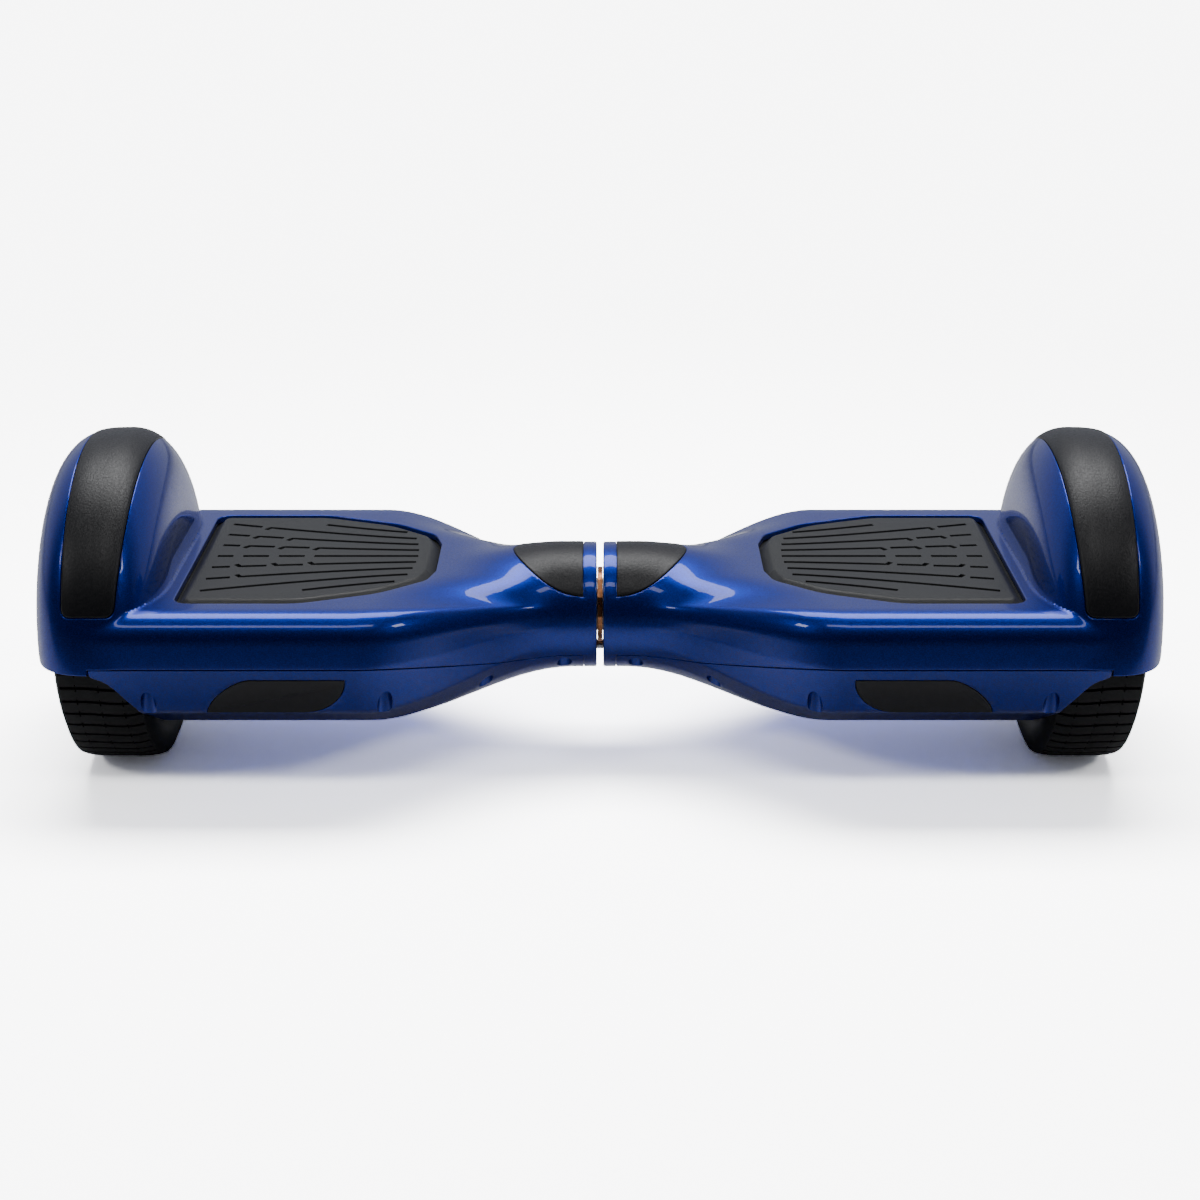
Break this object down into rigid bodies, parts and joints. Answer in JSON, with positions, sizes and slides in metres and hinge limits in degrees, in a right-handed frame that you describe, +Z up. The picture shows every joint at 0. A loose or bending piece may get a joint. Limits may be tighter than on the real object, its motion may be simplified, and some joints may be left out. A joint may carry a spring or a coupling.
{
  "type": "self balancing hoverboard",
  "caption": "Two-wheeled self-balancing board: two pivoting halves with foot pads, hub-motor wheels under arched fenders, and a moulded shell.",
  "frame": {"origin": "on the ground under the centre pivot, at the bottom centre of the bounding box", "axes": "+X along the board from the left half to the right half, +Y to the rear (the lamps face -Y), +Z up"},
  "size_m": [0.576, 0.1904, 0.1765],
  "materials": {
    "blue_gloss": "gloss",
    "black_trim": "satin",
    "pad_rubber": "matte",
    "lamp_lens": "satin",
    "tyre_rubber": "matte",
    "cast_aluminium": "satin",
    "wheel_aluminium": "satin",
    "steel": "satin",
    "bearing_steel": "polished",
    "bronze": "satin",
    "circuit_board": "satin",
    "motor_core": "satin",
    "magnet": "satin",
    "battery_wrap": "satin",
    "cable_jacket": "satin",
    "black_plastic": "satin"
  },
  "bodies": {
    "left_half": {"left_upper_shell": "blue_gloss", "left_lower_shell": "blue_gloss", "left_fender_bumper": "black_trim", "left_center_trim": "black_trim", "left_headlight_lens": "lamp_lens", "left_headlight_board": "circuit_board", "left_frame": "cast_aluminium", "left_axle_clamp": "cast_aluminium", "left_clamp_bolt_front": "steel", "left_clamp_bolt_rear": "steel", "left_gyro_board": "circuit_board", "left_stator": "motor_core", "left_axle": "steel", "left_motor_cable": "cable_jacket", "battery_pack": "battery_wrap", "thrust_washer": "bronze", "stop_pin": "steel", "wiring_harness": "cable_jacket", "pivot_tube": "steel", "retaining_ring": "steel"},
    "right_half": {"right_upper_shell": "blue_gloss", "right_lower_shell": "blue_gloss", "right_fender_bumper": "black_trim", "right_center_trim": "black_trim", "right_headlight_lens": "lamp_lens", "right_headlight_board": "circuit_board", "right_frame": "cast_aluminium", "right_axle_clamp": "cast_aluminium", "right_clamp_bolt_front": "steel", "right_clamp_bolt_rear": "steel", "right_gyro_board": "circuit_board", "right_stator": "motor_core", "right_axle": "steel", "right_motor_cable": "cable_jacket", "main_board": "circuit_board", "heat_sink": "cast_aluminium", "charge_socket": "black_plastic", "button_bezel": "black_plastic", "pivot_bush_inner": "bronze", "pivot_bush_outer": "bronze"},
    "left_wheel": {"left_tyre": "tyre_rubber", "left_hub_shell": "wheel_aluminium", "left_hub_cover": "wheel_aluminium", "left_magnet_ring": "magnet", "left_outer_bearing": "bearing_steel", "left_inner_bearing": "bearing_steel"},
    "left_pad": {"left_foot_pad": "pad_rubber"},
    "right_wheel": {"right_tyre": "tyre_rubber", "right_hub_shell": "wheel_aluminium", "right_hub_cover": "wheel_aluminium", "right_magnet_ring": "magnet", "right_outer_bearing": "bearing_steel", "right_inner_bearing": "bearing_steel"},
    "right_pad": {"right_foot_pad": "pad_rubber"},
    "button": {"power_button": "black_trim"},
    "cap": {"charge_cap": "black_trim"}
  },
  "joints": [
    {"name": "swivel", "type": "hinge", "parent": "left_half", "child": "right_half", "pos_m": [0, 0, 0.0815], "axis": [1, 0, 0], "range_deg": [-12, 12]},
    {"name": "left_wheel_spin", "type": "hinge", "parent": "left_half", "child": "left_wheel", "pos_m": [-0.254, 0, 0.0815], "axis": [1, 0, 0], "continuous": true},
    {"name": "right_wheel_spin", "type": "hinge", "parent": "right_half", "child": "right_wheel", "pos_m": [0.254, 0, 0.0815], "axis": [1, 0, 0], "continuous": true},
    {"name": "left_pad_press", "type": "slide", "parent": "left_half", "child": "left_pad", "axis": [0, 0, -1], "range_m": [0, 0.0015], "stiffness_N_per_m": 20000},
    {"name": "right_pad_press", "type": "slide", "parent": "right_half", "child": "right_pad", "axis": [0, 0, -1], "range_m": [0, 0.0015], "stiffness_N_per_m": 20000},
    {"name": "button_press", "type": "slide", "parent": "right_half", "child": "button", "axis": [0, -0.9055, 0.4243], "range_m": [0, 0.0015], "stiffness_N_per_m": 800},
    {"name": "cap_swing", "type": "hinge", "parent": "right_half", "child": "cap", "pos_m": [0.15, 0.09502, 0.0746], "axis": [1, 0, 0], "range_deg": [0, 110], "stiffness_Nm_per_rad": 0.004}
  ]
}
